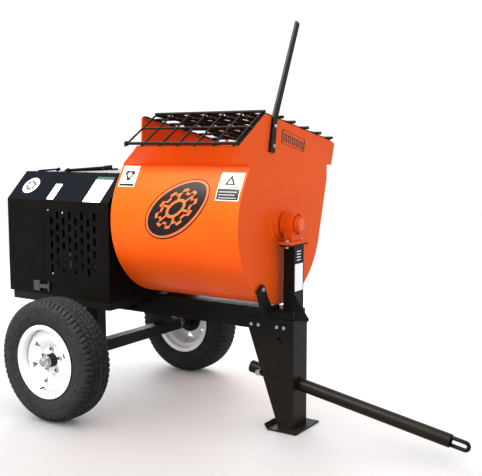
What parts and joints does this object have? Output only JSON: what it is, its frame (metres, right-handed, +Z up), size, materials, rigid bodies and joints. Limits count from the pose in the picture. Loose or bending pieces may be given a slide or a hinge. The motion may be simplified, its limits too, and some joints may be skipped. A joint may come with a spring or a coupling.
{
  "type": "concrete mixer",
  "caption": "Towable mortar mixer: tilting drum with a paddle shaft, bar grate and dump handle on a wheeled spine frame, with a covered engine, front stand and tow pole.",
  "frame": {"origin": "on the ground under the centre of the front foot plate", "axes": "+X level and forward to the tow eye, +Y to the charging side of the drum, +Z up"},
  "size_m": [2.4161, 1.288, 1.9358],
  "materials": {
    "paint_orange": "gloss powder coat",
    "paint_black": "semi-gloss powder coat",
    "paint_white": "gloss paint",
    "tyre": "matte",
    "zinc": "zinc plated",
    "steel": "bare steel",
    "iron": "machined cast iron",
    "aluminium": "die cast",
    "rubber": "matte",
    "plastic_black": "satin"
  },
  "bodies": {
    "chassis": {"spine_rail": "paint_black", "deck_outriggers": "paint_black", "engine_deck": "paint_black", "axle_tube": "paint_black", "axle_legs": "paint_black", "spindles": "steel", "front_stand": "paint_black", "foot_plate": "paint_black", "upper_post": "paint_black", "drum_stop_bracket": "paint_black", "frame_bolts": "zinc", "front_bearing": "paint_orange", "rear_pedestal": "paint_black", "countershaft_brackets": "paint_black", "drive_belt": "rubber", "engine_block": "aluminium", "engine_cylinder": "aluminium", "fan_cover": "paint_black", "fuel_tank": "paint_black", "muffler": "steel", "hood_front": "paint_black"},
    "wheel_near": {"tyre_near": "tyre", "rim_near": "paint_white", "hub_near": "paint_black", "grease_cap_near": "zinc", "lug_nuts_near": "zinc"},
    "wheel_far": {"tyre_far": "tyre", "rim_far": "paint_white", "hub_far": "paint_black", "grease_cap_far": "zinc", "lug_nuts_far": "zinc"},
    "drum": {"drum_barrel": "paint_orange", "lip_stiffener": "paint_orange", "front_plate": "paint_orange", "rear_plate": "paint_orange", "spout_panel": "paint_orange", "front_trunnion": "paint_orange", "rear_trunnion": "paint_orange", "dump_handle": "paint_black", "handle_bolts": "zinc"},
    "grate": {"grate": "paint_black"},
    "rotor": {"mixer_shaft": "steel", "paddle_arms": "steel", "paddle_blades": "steel", "bull_gear": "iron"},
    "countershaft": {"countershaft": "steel", "pinion": "iron", "driven_pulley": "iron"},
    "crank": {"engine_pulley": "iron"},
    "rear_hood": {"hood_rear": "paint_black", "latch_bases": "zinc"},
    "latch_near": {"latch_strap_near": "rubber"},
    "latch_far": {"latch_strap_far": "rubber"},
    "lever": {"clutch_lever": "paint_black"},
    "cap": {"fuel_cap": "plastic_black"},
    "starter": {"starter_grip": "plastic_black"},
    "pole": {"tow_pole": "paint_black", "tow_eye": "paint_black"},
    "pin": {"tow_pin": "zinc"}
  },
  "joints": [
    {"name": "wheel_near_spin", "type": "hinge", "parent": "chassis", "child": "wheel_near", "pos_m": [-1.027, -0.55, 0.305], "axis": [0, 1, 0], "continuous": true},
    {"name": "wheel_far_spin", "type": "hinge", "parent": "chassis", "child": "wheel_far", "pos_m": [-1.027, 0.55, 0.305], "axis": [0, 1, 0], "continuous": true},
    {"name": "drum_tilt", "type": "hinge", "parent": "chassis", "child": "drum", "pos_m": [-0.427, 0, 0.981], "axis": [1, 0, 0], "range_deg": [0, 105]},
    {"name": "grate_open", "type": "hinge", "parent": "drum", "child": "grate", "pos_m": [-0.427, 0.508, 1.388], "axis": [-1, 0, 0], "range_deg": [0, 95]},
    {"name": "rotor_spin", "type": "hinge", "parent": "chassis", "child": "rotor", "pos_m": [-0.427, 0, 0.981], "axis": [1, 0, 0], "continuous": true},
    {"name": "countershaft_spin", "type": "hinge", "parent": "chassis", "child": "countershaft", "pos_m": [-1.027, 0, 0.747], "axis": [1, 0, 0], "continuous": true},
    {"name": "crank_spin", "type": "hinge", "parent": "chassis", "child": "crank", "pos_m": [-1.087, -0.19, 0.706], "axis": [1, 0, 0], "continuous": true},
    {"name": "rear_hood_open", "type": "hinge", "parent": "chassis", "child": "rear_hood", "pos_m": [-1.272, 0, 1.2173], "axis": [0, 1, 0], "range_deg": [0, 95]},
    {"name": "latch_near_swing", "type": "hinge", "parent": "rear_hood", "child": "latch_near", "pos_m": [-1.307, -0.381, 0.62], "axis": [0, 0, -1], "range_deg": [0, 110]},
    {"name": "latch_far_swing", "type": "hinge", "parent": "rear_hood", "child": "latch_far", "pos_m": [-1.307, 0.381, 0.62], "axis": [0, 0, 1], "range_deg": [0, 110]},
    {"name": "clutch_lever_turn", "type": "hinge", "parent": "chassis", "child": "lever", "pos_m": [-1.245, -0.215, 1.222], "axis": [0, 0, 1], "range_deg": [0, 35]},
    {"name": "fuel_cap_turn", "type": "hinge", "parent": "chassis", "child": "cap", "pos_m": [-1.292, -0.13, 0.985], "axis": [0, 0, 1], "continuous": true},
    {"name": "starter_pull", "type": "slide", "parent": "chassis", "child": "starter", "axis": [-1, 0, 0], "range_m": [0, 0.03], "stiffness_N_per_m": 120},
    {"name": "pole_slide", "type": "slide", "parent": "chassis", "child": "pole", "axis": [0.9845, 0, -0.1752], "range_m": [0, 0.024]},
    {"name": "pin_pull", "type": "slide", "parent": "pole", "child": "pin", "axis": [0, -1, 0], "range_m": [0, 0.12]}
  ],
  "couplings": [
    {"joint": "countershaft_spin", "follows": "rotor_spin", "ratio": -5},
    {"joint": "crank_spin", "follows": "rotor_spin", "ratio": -15.667}
  ]
}
